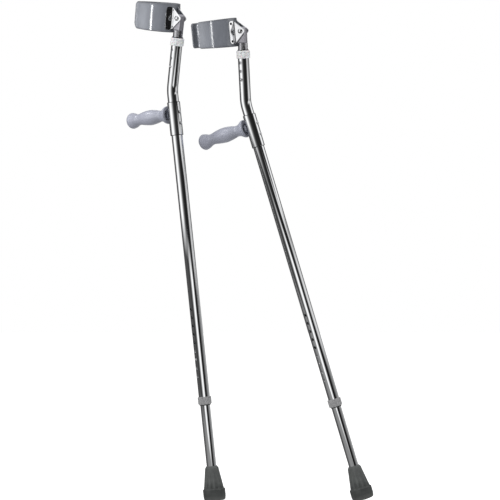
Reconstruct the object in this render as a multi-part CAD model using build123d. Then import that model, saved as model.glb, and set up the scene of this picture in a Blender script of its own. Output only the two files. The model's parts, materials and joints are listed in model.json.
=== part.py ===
"""A pair of steel-tube forearm crutches with hinged arm cuffs and snap-button height setting.

Each crutch is modelled upright in a frame of its own: the origin is the middle of the tip's
sole, +Z runs up the shaft, the hand grip points along -X and the snap buttons face -Y.
Both are then leaned and turned into the pair's frame: the floor is Z = 0, +Z is up, and the
origin is the middle of the pair's box on the floor.
"""
from math import atan2, cos, degrees, radians, sin
import os

from build123d import *

# ---- Driving dimensions, mm and degrees ----
OUTER_D = 25.4            # shaft and forearm tube, 1 in
INNER_D = 22.2            # telescoping tubes, 7/8 in
WALL = 1.2
HOLE_PITCH = 19.05        # 3/4 in between snap-button holes
FREE_GAP = 0.3            # between faces of bodies that move on each other
SNUG = 0.05               # between faces of pieces fastened together
TOUCH = 0.02              # between the flat seats of fastened pieces
PAST = 20.0               # how far a cutter stands past the piece that it cuts

BEND_Z = 931.0            # corner of the shaft's axis above the sole
BEND_ANGLE = 15.4         # the forearm part leans back, away from the grip
BEND_RADIUS = 95.0
TUBE_FOOT_Z = 221.8       # lower end of the shaft tube
TUBE_HEAD_S = 114.8       # upper end of the forearm tube, along its axis from the corner

BUTTON_ANGLE = -100.0     # buttons and holes, measured from +X about the shaft
BUTTON_D = 6.0
BUTTON_TRAVEL = 4.0
LOWER_BUTTON_Z = 320.5
LOWER_HOLES = range(-2, 7)     # holes, counted in pitches from the one that the button is in
UPPER_BUTTON_S = 53.4
UPPER_HOLES = range(0, 3)
BUTTON_SEAT = 7.9         # outer face of the button's flange, from the tube's axis
BUTTON_DOME = 1.2

LOWER_TUBE_SPAN = (12.0, 353.0)
UPPER_TUBE_SPAN = (28.0, 135.9)
COLLAR_LENGTH = 17.8
COLLAR_OVERHANG = 4.2     # the collar's lip stands this far past the tube's end
COLLAR_LIP = 1.7          # thickness of the lip
COLLAR_D = 30.6
COLLAR_CHAMFER = 2.0      # round the lip
COLLAR_EDGE = 0.8         # chamfer of the open end
COLLAR_RIBS = 28
COLLAR_GROOVE_R = 0.55

TIP_HEIGHT = 78.0
TIP_BASE_D = 50.6
TIP_BASE_HEIGHT = 25.0
TIP_EDGE = 3.6            # rounding between the sole and the base band
TIP_CONE_R = (22.7, 15.2)      # the cone's radius above the band and at its shoulder
TIP_SHOULDER = 4.6        # height of the slope between the shoulder and the top
TIP_TOP_R = 12.0
TIP_FLUTES = 12
TIP_FLUTE_R = 3.1
TIP_FLUTE_DEPTH = 2.8     # at the band; the flutes run out towards the shoulder

SLEEVE_D = 29.6
SLEEVE_SPAN = (828.3, 904.3)
GRIP_Z = 876.9
GRIP_REACH = 140.0        # from the shaft's axis to the grip's end
GRIP_BAR_D = 21.2
GRIP_BAR_WALL = 1.6
GRIP_BAR_STOP = 14.0      # the stub tube ends this far inside the grip's end
GRIP_BACK = 18.6          # the flange's back face, from the shaft's axis
GRIP_FLANGE_R = 20.0
GRIP_RECESS_R = 14.0      # recess in the flange's back face, round the stub tube
GRIP_RIVET_Z = (855.4, 880.7)
GRIP_RIVET_R = 2.4
GRIP_RIVET_HEAD = (4.2, 1.9)   # radius and height

PIVOT_S = 162.5           # cuff pivot above the corner, along the forearm tube's axis
PIVOT_D = 6.0
YOKE_WIDTH = 15.0         # across the ears
YOKE_SPAN = (-9.0, 8.75)       # the tang, front to back
YOKE_TOP = (-1.5, 9.6)    # its highest corner, X and Z from the pivot
YOKE_FRONT_TOP = 4.0      # height of its front corner
YOKE_BACK_TOP = 6.6
YOKE_SPIGOT = 19.0        # length in the tube
PIVOT_PLAY = 0.08
WASHER_R = 6.5
YOKE_PIN_R = 2.0
YOKE_PIN_DROP = 8.0       # cross pin below the forearm tube's top
EAR_GAP = 0.9             # between the yoke and each ear, filled by a washer
PLATE = 1.8               # thickness of the cuff brackets
EAR_HALF_HEIGHT = 23.5
EAR_TIP_R = 5.0
EAR_TIP_X = 11.6          # the ear's back end, from the pivot
FOLD_R = 3.0              # inside radius of the bend between ear and flange
NOTCH_R = 4.8             # half-round notch in the flange at the bend
FLANGE_LIE = 22.0         # where the flange touches the cuff, degrees from the cuff's back
FLANGE_WIDTH = 13.0
FLANGE_HEIGHT = 52.0
BRACKET_DROP = 1.5        # bracket's middle below the pivot

CUFF_D = 105.6
CUFF_WALL = 4.0
CUFF_AHEAD = 68.9         # ring's centre ahead of the pivot
CUFF_BACK_HEIGHT = 65.0
CUFF_FRONT_HEIGHT = 57.0
CUFF_DROP = 1.1           # cuff's middle below the pivot
CUFF_GAP = (20.0, 66.0)   # the opening, measured from the front towards -Y
CUFF_CORNER_R = 11.0
CORE_WALL = 1.5
CORE_MARGIN = 2.5         # vinyl beyond the core's edges
RIVET_SPACING = 39.5
RIVET_SHANK_R = 1.6
RIVET_HEAD = (2.9, 1.1)        # radius and height
BOLT_HEAD_R = 5.4
BOLT_HEAD_RIM = 1.4
BOLT_HEAD_DOME = 1.8
BOLT_CHAMFER = 0.8
NUT_HALF_WIDTH = 5.0      # across the flats
NUT_CORNER_R = 5.55
NUT_HEIGHT = 5.0
BOLT_END = 9.0            # the bolt's far end, past the far ear

# how each crutch stands in the pair: middle of its sole in X and Y, lean towards -X,
# turn of its grip away from -Y, and how far its cuff dips at the front
STANCES = {
    "left": {"foot": (-78.9, 0.0), "lean": 5.95, "turn": 38.9, "cuff_dip": 1.5},
    "right": {"foot": (256.1, -7.3), "lean": 16.6, "turn": 26.8, "cuff_dip": 3.0},
}

# ---- Derived sizes ----
OUTER_R = OUTER_D / 2
INNER_R = INNER_D / 2
OUTER_BORE_R = OUTER_R - WALL
INNER_BORE_R = INNER_R - WALL
COLLAR_R = COLLAR_D / 2
BUTTON_R = BUTTON_D / 2
HOLE_R = BUTTON_R + FREE_GAP
CUFF_R = CUFF_D / 2
GRIP_BAR_R = GRIP_BAR_D / 2
EAR_INNER_Y = YOKE_WIDTH / 2 + EAR_GAP
EAR_OUTER_Y = EAR_INNER_Y + PLATE
FOLD_Y = -(EAR_OUTER_Y + FOLD_R)
# the bend's outer face runs into the plane that touches the cuff's wall at FLANGE_LIE
LIE_COS, LIE_SIN = cos(radians(FLANGE_LIE)), sin(radians(FLANGE_LIE))
FOLD_X = (CUFF_R + TOUCH + FOLD_R + PLATE + FOLD_Y * LIE_SIN) / LIE_COS - CUFF_AHEAD

# the upper frame: origin at the bend's corner, +Z up the forearm tube, -X still to the front
UPPER = Pos(0, 0, BEND_Z) * Rot(0, BEND_ANGLE, 0)
# turns a feature built along +Z so that it points out through the snap-button holes
OUTWARD = Rot(0, 0, BUTTON_ANGLE) * Rot(0, 90, 0)


# ---- Helpers ----
def rod(radius, low, high):
    """A cylinder on the Z axis from low to high."""
    return Pos(0, 0, low) * Cylinder(radius, high - low, align=(Align.CENTER, Align.CENTER, Align.MIN))


def ring(outer, inner, low, high):
    """A plain ring on the Z axis."""
    return rod(outer, low, high) - rod(inner, low - 1, high + 1)


def lathe(*outline):
    """A solid turned about the Z axis from (radius, height) corners."""
    profile = make_face(Polyline(*[(radius, 0, height) for radius, height in outline], close=True))
    return revolve(profile, Axis.Z)


def dome_head(radius, height, seat):
    """A rivet head: a low spherical cap whose flat side is at seat, bulging along +Z."""
    sphere_r = (radius**2 + height**2) / (2 * height)
    ball = Pos(0, 0, seat + height - sphere_r) * Sphere(sphere_r)
    return ball & rod(radius + 1, seat, seat + height + 1)


def prism_xz(corners, low_y, high_y):
    """A prism with its outline given in X and Z, from low_y to high_y."""
    outline = make_face(Polyline(*[(x, low_y, z) for x, z in corners], close=True))
    return extrude(outline, amount=high_y - low_y, dir=(0, 1, 0))


# ---- Shaft: the bent main tube and what is fixed to it ----
def tube_path():
    corner = UPPER.position
    head = (UPPER * Pos(0, 0, TUBE_HEAD_S)).position
    return FilletPolyline((0, 0, TUBE_FOOT_Z), tuple(corner), tuple(head), radius=BEND_RADIUS)


def swept_rod(radius):
    path = tube_path()
    start = Plane(origin=path @ 0, z_dir=path % 0)
    return sweep(start * Circle(radius), path=path)


def button_hole(height):
    return Pos(0, 0, height) * OUTWARD * rod(HOLE_R, OUTER_BORE_R - 3, OUTER_R + 3)


def main_tube():
    tube = swept_rod(OUTER_R) - swept_rod(OUTER_BORE_R)
    for step in LOWER_HOLES:
        tube -= button_hole(LOWER_BUTTON_Z + step * HOLE_PITCH)
    for step in UPPER_HOLES:
        tube -= UPPER * button_hole(UPPER_BUTTON_S + step * HOLE_PITCH)
    for height in GRIP_RIVET_Z:
        tube -= Pos(0, 0, height) * Rot(0, 90, 0) * rod(GRIP_RIVET_R + SNUG, OUTER_BORE_R - 3, OUTER_R + 3)
    return tube


def grip_sleeve():
    low, high = SLEEVE_SPAN
    edge = 1.0
    outer_r = SLEEVE_D / 2
    inner_r = OUTER_R + SNUG
    sleeve = lathe(
        (inner_r, low), (outer_r - edge, low), (outer_r, low + edge),
        (outer_r, high - edge), (outer_r - edge, high), (inner_r, high),
    )
    for height in GRIP_RIVET_Z:
        sleeve -= Pos(0, 0, height) * Rot(0, 90, 0) * rod(GRIP_RIVET_R + SNUG, OUTER_R - 2, outer_r + 2)
    return sleeve


def grip_bar():
    """The stub tube welded to the sleeve's front, with its end saddled to the sleeve."""
    bar = ring(GRIP_BAR_R, GRIP_BAR_R - GRIP_BAR_WALL, 5, GRIP_REACH - GRIP_BAR_STOP)
    bar = Pos(0, 0, GRIP_Z) * Rot(0, -90, 0) * bar
    return bar - rod(SLEEVE_D / 2 + SNUG, GRIP_Z - 40, GRIP_Z + 40)


def hand_grip():
    """Moulded grip: flange, neck, palm swell, waist and end bulb about the stub tube."""
    bore_r = GRIP_BAR_R + SNUG
    recess = GRIP_BACK + 4.4
    plug = GRIP_REACH - GRIP_BAR_STOP + 1.0
    with BuildLine(Plane.XZ) as outline:
        Polyline((GRIP_RECESS_R, GRIP_BACK), (GRIP_FLANGE_R - 1.4, GRIP_BACK), (GRIP_FLANGE_R, 20.4))
        Spline(
            (GRIP_FLANGE_R, 20.4), (18.6, 25.5), (14.4, 33.0), (12.7, 41.0), (17.2, 70.0), (12.7, 106.0),
            (16.6, 118.0), (18.2, 127.5), tangents=((-0.05, 1), (0.05, 1)),
        )
        Spline((18.2, 127.5), (15.0, 136.2), (0, GRIP_REACH), tangents=((-0.05, 1), (-1, 0)))
        Polyline((0, GRIP_REACH), (0, plug), (bore_r, plug), (bore_r, recess), (GRIP_RECESS_R, recess),
                 (GRIP_RECESS_R, GRIP_BACK))
    grip = revolve(make_face(outline.line), Axis.Z)
    return Pos(0, 0, GRIP_Z) * Rot(0, -90, 0) * grip


def grip_rivets():
    """Two blind rivets through the sleeve and the shaft, opposite the grip."""
    seat = SLEEVE_D / 2 + TOUCH
    rivet = rod(GRIP_RIVET_R, OUTER_BORE_R - 1.2, seat) + dome_head(*GRIP_RIVET_HEAD, seat)
    return [Pos(0, 0, height) * Rot(0, 90, 0) * rivet for height in GRIP_RIVET_Z]


def wedge_ring():
    """Split nylon ring between the tube's end (at 0, below the tube) and the collar's lip."""
    low, high = -COLLAR_OVERHANG + COLLAR_LIP + FREE_GAP, -TOUCH
    gap_cut = Pos(INNER_R + 1, 0, (low + high) / 2) * Box(6, 1.2, 8)
    return lathe(
        (INNER_R + FREE_GAP, low), (OUTER_R - 0.6, low), (OUTER_R, low + 0.6),
        (OUTER_R, high), (INNER_R + FREE_GAP, high),
    ) - gap_cut


def collar():
    """Ribbed silencer collar round a tube that ends at 0 and rises from there."""
    low = -COLLAR_OVERHANG
    high = low + COLLAR_LENGTH
    lip_top = low + COLLAR_LIP
    body = lathe(
        (INNER_R + FREE_GAP, low), (COLLAR_R - COLLAR_CHAMFER, low), (COLLAR_R, low + COLLAR_CHAMFER),
        (COLLAR_R, high - COLLAR_EDGE), (COLLAR_R - COLLAR_EDGE, high), (OUTER_R + FREE_GAP, high),
        (OUTER_R + FREE_GAP, lip_top), (INNER_R + FREE_GAP, lip_top),
    )
    for rib in range(COLLAR_RIBS):
        groove = rod(COLLAR_GROOVE_R, low + COLLAR_CHAMFER + 0.6, high - COLLAR_EDGE - 0.6)
        body -= Rot(0, 0, 360 * rib / COLLAR_RIBS) * Pos(COLLAR_R + 0.15, 0, 0) * groove
    return body


# ---- Telescoping tubes, snap buttons and their springs ----
def inner_tube(low, high, button_at):
    tube = ring(INNER_R, INNER_BORE_R, low, high)
    return tube - Pos(0, 0, button_at) * OUTWARD * rod(HOLE_R, INNER_BORE_R - 3, INNER_R + 3)


def snap_button():
    """Domed button with a flange that keeps it inside the tube; it points along +Z."""
    top = OUTER_R + 1.2
    stem = rod(BUTTON_R, BUTTON_SEAT - 0.1, top)
    flange = rod(BUTTON_R + 1.0, BUTTON_SEAT - 1.0, BUTTON_SEAT)
    return flange + stem + dome_head(BUTTON_R, BUTTON_DOME, top)


def spring_clip():
    """U-shaped leaf spring under the button: one leg behind it, one on the far wall."""
    leaf = 0.7
    reach = 6.8
    width = 7.0
    turn_at = 22.0
    legs = [(reach - leaf, -7.0), (-reach, -14.0)]
    clip = Pos(0, 0, turn_at) * Rot(90, 0, 0) * (
        Cylinder(reach, width) - Cylinder(reach - leaf, width + 2)
    )
    clip &= Pos(0, 0, turn_at) * Box(40, 40, 40, align=(Align.CENTER, Align.CENTER, Align.MIN))
    for start, foot in legs:
        leg = Box(leaf, width, turn_at - foot, align=(Align.MIN, Align.CENTER, Align.MIN))
        clip += Pos(start, 0, foot) * leg
    return Rot(0, 0, BUTTON_ANGLE) * clip


# ---- Rubber tip ----
def rubber_tip():
    base_r = TIP_BASE_D / 2
    foot_r, shoulder_r = TIP_CONE_R
    cone_foot, shoulder = TIP_BASE_HEIGHT + 1.6, TIP_HEIGHT - TIP_SHOULDER
    seat = LOWER_TUBE_SPAN[0] - 1.5
    bore_r = INNER_R + SNUG
    body = lathe(
        (0, 0), (base_r - TIP_EDGE, 0), (base_r - 0.9, 1.4), (base_r, 4.0),
        (base_r - 0.3, TIP_BASE_HEIGHT), (foot_r, cone_foot), (shoulder_r, shoulder),
        (TIP_TOP_R, TIP_HEIGHT), (bore_r, TIP_HEIGHT), (bore_r, seat), (0, seat),
    )
    # a flute is cut by a rod whose axis runs steeper than the cone's face
    low_x, low_z = foot_r + TIP_FLUTE_R - TIP_FLUTE_DEPTH, cone_foot + TIP_FLUTE_R + 0.6
    rise = shoulder - 4.0 - low_z
    slope = degrees(atan2(low_x - shoulder_r - TIP_FLUTE_R, rise))
    groove = rod(TIP_FLUTE_R, 0, rise) + Sphere(TIP_FLUTE_R) + Pos(0, 0, rise) * Sphere(TIP_FLUTE_R)
    groove = Pos(low_x, 0, low_z) * Rot(0, -slope, 0) * groove
    for flute in range(TIP_FLUTES):
        body -= Rot(0, 0, 360 * flute / TIP_FLUTES) * groove
    return body


def tip_washer():
    high = LOWER_TUBE_SPAN[0] - TOUCH
    return ring(INNER_R, 3.0, high - 1.4, high)


# ---- Cuff and its hinge, about the pivot: origin on the pivot, +Z up the forearm tube ----
def yoke():
    """Solid head in the forearm tube's top: a round spigot and a square tang with a bore."""
    seat = UPPER_TUBE_SPAN[1] - PIVOT_S
    half = YOKE_WIDTH / 2
    front, back = YOKE_SPAN
    outline = [(front, seat), (back, seat), (back, YOKE_BACK_TOP), YOKE_TOP, (front, YOKE_FRONT_TOP)]
    tang = prism_xz(outline, -half, half)
    spigot = rod(INNER_BORE_R - SNUG, seat - YOKE_SPIGOT, seat)
    bore = Rot(90, 0, 0) * rod(PIVOT_D / 2 + PIVOT_PLAY, -PAST, PAST)
    pin_hole = Pos(0, 0, seat - YOKE_PIN_DROP) * Rot(0, 90, 0) * rod(YOKE_PIN_R, -PAST, PAST)
    return tang + spigot - bore - pin_hole


def yoke_pin():
    """Cross pin that holds the yoke in the tube, its ends flush with the tube."""
    seat = UPPER_TUBE_SPAN[1] - PIVOT_S
    return Pos(0, 0, seat - YOKE_PIN_DROP) * Rot(0, 90, 0) * rod(YOKE_PIN_R - SNUG, -INNER_R, INNER_R)


def cuff_bracket(side):
    """One bent plate: a three-cornered ear beside the yoke and a flange on the cuff's back.

    It is drawn for the -Y side: side is -1 there and +1 for its mirror image.
    """
    middle = -BRACKET_DROP
    low, high = middle - EAR_HALF_HEIGHT, middle + EAR_HALF_HEIGHT
    # ear: a triangle rounded at its back corner, behind the pivot
    tip_x = EAR_TIP_X - EAR_TIP_R
    outline = [(FOLD_X, low), (tip_x + 3.4, -3.4), (tip_x + 3.4, 4.0), (FOLD_X, high)]
    ear = prism_xz(outline, -EAR_OUTER_Y, -EAR_INNER_Y)
    ear += Pos(tip_x, -EAR_INNER_Y - PLATE / 2, 0.3) * Rot(90, 0, 0) * Cylinder(EAR_TIP_R, PLATE)
    ear -= Rot(90, 0, 0) * rod(PIVOT_D / 2 + SNUG, 0, PAST)
    # bend: a sector of a ring about the fold's centre
    bend = ring(FOLD_R + PLATE, FOLD_R, low, high)
    sector = [(0, 0), (0, 20), (-20, 20), (-30 * LIE_COS, 30 * LIE_SIN)]
    wedge = make_face(Polyline(*[(x, y, low - 1) for x, y in sector], close=True))
    bend &= extrude(wedge, amount=high - low + 2, dir=(0, 0, 1))
    # flange: a strip with round ends and a half-round notch in the bent edge
    strip = Pos(0, -FLANGE_WIDTH / 2, 0) * Box(PLATE, FLANGE_WIDTH, FLANGE_HEIGHT - FLANGE_WIDTH)
    for end in (-1, 1):
        disc = Rot(0, 90, 0) * Cylinder(FLANGE_WIDTH / 2, PLATE)
        strip += Pos(0, -FLANGE_WIDTH / 2, end * (FLANGE_HEIGHT - FLANGE_WIDTH) / 2) * disc
    strip += Pos(0, -FLANGE_WIDTH / 4, 0) * Box(PLATE, FLANGE_WIDTH / 2, 2 * EAR_HALF_HEIGHT)
    strip -= Rot(0, 90, 0) * Cylinder(NOTCH_R, 10)
    for end in (-1, 1):
        spot = Pos(0, -FLANGE_WIDTH / 2, end * RIVET_SPACING / 2)
        strip -= spot * Rot(0, 90, 0) * Cylinder(RIVET_SHANK_R + SNUG, 10)
    strip = Rot(0, 0, -FLANGE_LIE) * Pos(-FOLD_R - PLATE / 2, 0, middle) * strip
    bracket = ear + Pos(FOLD_X, FOLD_Y, 0) * (bend + strip)
    return bracket if side < 0 else mirror(bracket, about=Plane.XZ)


def on_flange(side, piece):
    """Places a piece built along +Z on both rivet centres of one flange, pointing outwards.

    The piece's own origin goes on the face that the flange turns to the cuff.
    """
    outer_bend = FOLD_R + PLATE
    x = FOLD_X - outer_bend * LIE_COS - FLANGE_WIDTH / 2 * LIE_SIN
    y = FOLD_Y + outer_bend * LIE_SIN - FLANGE_WIDTH / 2 * LIE_COS
    placed = []
    for end in (-1, 1):
        spot = Pos(x, -side * y, -BRACKET_DROP + end * RIVET_SPACING / 2)
        placed.append(spot * Rot(0, 0, side * FLANGE_LIE) * Rot(0, 90, 0) * piece)
    return placed


def cuff_rivets():
    """Four rivets, two through each flange and the cuff wall."""
    seat = PLATE + TOUCH
    shank = rod(RIVET_SHANK_R, -CUFF_WALL + 1.0, seat)
    return [rivet for side in (-1, 1)
            for rivet in on_flange(side, shank + dome_head(*RIVET_HEAD, seat))]


def band(outer_r, inner_r, back_height, front_height, inset):
    """An open ring about the cuff's axis, lower at the front, with rounded arm ends."""
    slope = (back_height - front_height) / 2 / CUFF_D      # of half the height along X
    reach = 2 * CUFF_R
    outline = [
        (sign * reach, level * (front_height / 2 + slope * (sign * reach + CUFF_R)))
        for sign, level in ((-1, -1), (1, -1), (1, 1), (-1, 1))
    ]
    body = ring(outer_r, inner_r, -60, 60) & prism_xz(outline, -80, 80)
    first, last = CUFF_GAP[0] - inset, CUFF_GAP[1] + inset
    fan = [(reach * cos(radians(180 + turn)), reach * sin(radians(180 + turn)), -60)
           for turn in (first, (first + last) / 2, last)]
    body -= extrude(make_face(Polyline((0, 0, -60), *fan, close=True)), amount=120, dir=(0, 0, 1))
    for edge, arm_side in ((first, -1), (last, 1)):
        half = front_height / 2 + slope * CUFF_R * (1 - cos(radians(edge)))
        body -= arm_corners(180 + edge, arm_side, half)
    return body


def arm_corners(angle, arm_side, half):
    """The two sharp corners of an arm's end, to be cut off; arm_side is the side it lies on."""
    corner_r = CUFF_CORNER_R
    length = 80.0
    corners = []
    for end in (-1, 1):
        block = Pos(length / 2, arm_side * corner_r / 2, end * (half - corner_r / 2 + 10))
        corner = block * Box(length, corner_r + 0.2, corner_r + 20)
        pillar = Rot(0, 90, 0) * Cylinder(corner_r, 2 * length)
        corner -= Pos(0, arm_side * corner_r, end * (half - corner_r)) * pillar
        corners.append(Rot(0, 0, angle) * corner)
    return Compound(children=corners)


def cuff_core():
    """Spring-steel strip inside the cuff's vinyl."""
    middle = CUFF_R - CUFF_WALL / 2
    core = band(middle + CORE_WALL / 2, middle - CORE_WALL / 2, CUFF_BACK_HEIGHT - 2 * CORE_MARGIN,
                CUFF_FRONT_HEIGHT - 2 * CORE_MARGIN, CORE_MARGIN)
    core = Pos(-CUFF_AHEAD, 0, -CUFF_DROP) * core
    return core - rivet_holes()


def cuff_cover():
    """Thick vinyl coat of the cuff, with the space that its steel core fills."""
    coat = band(CUFF_R, CUFF_R - CUFF_WALL, CUFF_BACK_HEIGHT, CUFF_FRONT_HEIGHT, 0)
    middle = CUFF_R - CUFF_WALL / 2
    margin = CORE_MARGIN - 0.1
    space = band(middle + CORE_WALL / 2 + SNUG, middle - CORE_WALL / 2 - SNUG,
                 CUFF_BACK_HEIGHT - 2 * margin, CUFF_FRONT_HEIGHT - 2 * margin, margin)
    coat = Pos(-CUFF_AHEAD, 0, -CUFF_DROP) * (coat - space)
    return coat - rivet_holes()


def rivet_holes():
    hole = rod(RIVET_SHANK_R + SNUG, -CUFF_WALL + 0.9, 2)
    return Compound(children=[spot for side in (-1, 1) for spot in on_flange(side, hole)])


def pivot_bolt():
    """Round-headed bolt along +Y: its head is on the -Y side, past the near ear."""
    seat = -EAR_OUTER_Y - TOUCH
    end = EAR_OUTER_Y + BOLT_END
    radius = PIVOT_D / 2
    bolt = lathe((0, seat), (radius, seat), (radius, end - BOLT_CHAMFER),
                 (radius - BOLT_CHAMFER, end), (0, end))
    rim = -seat + BOLT_HEAD_RIM
    head = rod(BOLT_HEAD_R, -seat, rim) + dome_head(BOLT_HEAD_R, BOLT_HEAD_DOME, rim)
    return Rot(-90, 0, 0) * (bolt + Rot(180, 0, 0) * head)


def pivot_nut():
    """Domed-edge hexagon lock nut outside the far ear."""
    low = EAR_OUTER_Y + TOUCH
    hexagon = RegularPolygon(NUT_HALF_WIDTH, 6, major_radius=False)
    nut = extrude(Pos(0, 0, low) * hexagon, amount=NUT_HEIGHT)
    nut &= rod(NUT_CORNER_R, low - 1, low + NUT_HEIGHT + 1)
    return Rot(-90, 0, 0) * (nut - rod(PIVOT_D / 2 + SNUG, low - 1, low + NUT_HEIGHT + 1))


def pivot_washers():
    """Nylon washers between the yoke and the two ears."""
    low = YOKE_WIDTH / 2 + 0.05
    washer = ring(WASHER_R, PIVOT_D / 2 + SNUG, low, low + EAR_GAP - 0.1)
    return [Rot(turn, 0, 0) * washer for turn in (90, -90)]


# ---- One crutch, in its own frame ----
def crutch(cuff_dip):
    head_end = UPPER * Pos(0, 0, TUBE_HEAD_S) * Rot(180, 0, 0)
    foot_end = Pos(0, 0, TUBE_FOOT_Z)
    pivot = UPPER * Pos(0, 0, PIVOT_S)
    cuff = pivot * Rot(0, -cuff_dip, 0)
    pieces = {
        "main_tube": main_tube(),
        "grip_sleeve": grip_sleeve(),
        "grip_bar": grip_bar(),
        "hand_grip": hand_grip(),
        "grip_rivets": grip_rivets(),
        "lower_wedge_ring": foot_end * wedge_ring(),
        "upper_wedge_ring": head_end * wedge_ring(),
        "lower_collar": foot_end * collar(),
        "upper_collar": head_end * collar(),
        "lower_tube": inner_tube(*LOWER_TUBE_SPAN, LOWER_BUTTON_Z),
        "lower_button": Pos(0, 0, LOWER_BUTTON_Z) * OUTWARD * snap_button(),
        "lower_spring_clip": Pos(0, 0, LOWER_BUTTON_Z) * spring_clip(),
        "rubber_tip": rubber_tip(),
        "tip_washer": tip_washer(),
        "upper_tube": UPPER * upper_tube(),
        "upper_button": UPPER * Pos(0, 0, UPPER_BUTTON_S) * OUTWARD * snap_button(),
        "upper_spring_clip": UPPER * Pos(0, 0, UPPER_BUTTON_S) * spring_clip(),
        "yoke": pivot * yoke(),
        "yoke_pin": pivot * yoke_pin(),
        "cuff_cover": cuff * cuff_cover(),
        "cuff_core": cuff * cuff_core(),
        "cuff_bracket_outer": cuff * cuff_bracket(-1),
        "cuff_bracket_inner": cuff * cuff_bracket(1),
        "cuff_rivets": [cuff * rivet for rivet in cuff_rivets()],
        "pivot_bolt": cuff * pivot_bolt(),
        "pivot_nut": cuff * pivot_nut(),
        "pivot_washers": [cuff * washer for washer in pivot_washers()],
    }
    return pieces


def upper_tube():
    """Upper telescoping tube with the cross pin's hole."""
    low, high = UPPER_TUBE_SPAN
    pin_hole = Pos(0, 0, high - YOKE_PIN_DROP) * Rot(0, 90, 0) * rod(YOKE_PIN_R, -PAST, PAST)
    return inner_tube(low, high, UPPER_BUTTON_S) - pin_hole


# ---- The pair ----
def stand(foot, lean, turn):
    """Where a crutch goes in the pair, with its tip's lowest edge on the floor."""
    foot_height = (TIP_BASE_D / 2 - TIP_EDGE) * sin(radians(lean))
    return Pos(foot[0], foot[1], foot_height) * Rot(0, -lean, 0) * Rot(0, 0, -turn)


def pair():
    """Every piece of both crutches by node name, before the pair is centred."""
    pieces = {}
    for side, stance in STANCES.items():
        place = stand(stance["foot"], stance["lean"], stance["turn"])
        for name, shape in crutch(stance["cuff_dip"]).items():
            solids = shape if isinstance(shape, list) else [shape]
            pieces[f"{side}_{name}"] = [place * solid for solid in solids]
    return pieces


def centring(pieces):
    """The shift that puts the middle of the pair's box over the origin and its base at Z = 0."""
    boxes = [solid.bounding_box() for solids in pieces.values() for solid in solids]
    west, east = min(box.min.X for box in boxes), max(box.max.X for box in boxes)
    near, far = min(box.min.Y for box in boxes), max(box.max.Y for box in boxes)
    floor = min(box.min.Z for box in boxes)
    return Pos(-(west + east) / 2, -(near + far) / 2, -floor)


def main():
    os.makedirs("parts", exist_ok=True)
    pieces = pair()
    shift = centring(pieces)
    print("shift", shift.position)
    for node, solids in pieces.items():
        moved = [shift * solid for solid in solids]
        shape = moved[0] if len(moved) == 1 else Compound(children=moved)
        export_step(shape, f"parts/{node}.step")


if __name__ == "__main__":
    main()
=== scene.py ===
"""The looks of a pair of forearm crutches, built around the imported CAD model.

Pieces are drawn in millimetres, in frames that hang on their crutch's own: its origin is the
middle of the sole, +Z runs up the shaft, the grip points along -X and the buttons face -Y.
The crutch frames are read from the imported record, so every piece lands on its CAD body.
"""
import json
from math import asin, atan2, ceil, cos, pi, radians, sin, sqrt, tan

import bmesh
import bpy
from mathutils import Matrix, Vector
from mathutils.geometry import delaunay_2d_cdt


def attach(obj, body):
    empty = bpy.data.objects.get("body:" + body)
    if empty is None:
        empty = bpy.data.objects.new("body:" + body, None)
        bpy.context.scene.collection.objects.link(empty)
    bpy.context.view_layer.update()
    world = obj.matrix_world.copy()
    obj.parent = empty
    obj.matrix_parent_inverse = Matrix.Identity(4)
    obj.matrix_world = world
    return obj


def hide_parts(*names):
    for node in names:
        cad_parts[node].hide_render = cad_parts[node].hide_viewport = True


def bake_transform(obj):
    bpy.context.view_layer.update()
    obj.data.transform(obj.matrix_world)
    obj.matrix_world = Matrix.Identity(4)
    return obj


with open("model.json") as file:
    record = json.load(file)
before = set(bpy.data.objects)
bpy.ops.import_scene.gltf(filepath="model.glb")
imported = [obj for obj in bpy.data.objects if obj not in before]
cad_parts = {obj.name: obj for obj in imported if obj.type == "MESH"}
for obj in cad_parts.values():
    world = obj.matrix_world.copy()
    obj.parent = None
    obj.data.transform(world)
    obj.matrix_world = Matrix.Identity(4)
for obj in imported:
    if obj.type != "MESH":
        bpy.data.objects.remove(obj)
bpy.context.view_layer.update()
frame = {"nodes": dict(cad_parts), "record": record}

MM = 0.001
RIM_SHADE = "rim"               # attribute: 1 on a rim's very edge, 0 on the open surface; it sets the painted shade on the cuff's rims
OWN_PLACE = "own_place"   # attribute: a point's place in the frame its piece was drawn in

# ---- Sizes shared with the CAD model, mm and degrees ----
OUTER_R = 12.7
INNER_R = 11.1
WALL = 1.2
HOLE_PITCH = 19.05
FREE_GAP = 0.3
SNUG = 0.05

BEND_Z = 931.0
BEND_ANGLE = 15.4
BEND_RADIUS = 95.0
TUBE_FOOT_Z = 221.8
TUBE_HEAD_S = 114.8

BUTTON_ANGLE = -100.0
BUTTON_R = 3.0
HOLE_R = BUTTON_R + FREE_GAP
LOWER_BUTTON_Z = 320.5
LOWER_HOLES = range(-2, 7)
UPPER_BUTTON_S = 53.4
UPPER_HOLES = range(0, 3)
LOWER_TUBE_SPAN = (12.0, 353.0)
UPPER_TUBE_SPAN = (28.0, 135.9)

COLLAR_LENGTH = 17.8
COLLAR_OVERHANG = 4.2
COLLAR_R = 15.3
COLLAR_RIBS = 28
RIB_DEPTH = 0.8

TIP_HEIGHT = 78.0
TIP_BASE_R = 25.3
TIP_BASE_HEIGHT = 25.0
TIP_FLUTES = 12
FLUTE_DEPTH = 3.6         # at the band, before the flutes' ends are eased

SLEEVE_R = 14.8
SLEEVE_SPAN = (828.3, 904.3)
GRIP_Z = 876.9
GRIP_REACH = 140.0
GRIP_BAR_R = 10.6
GRIP_RIVET_Z = (855.4, 880.7)

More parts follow.
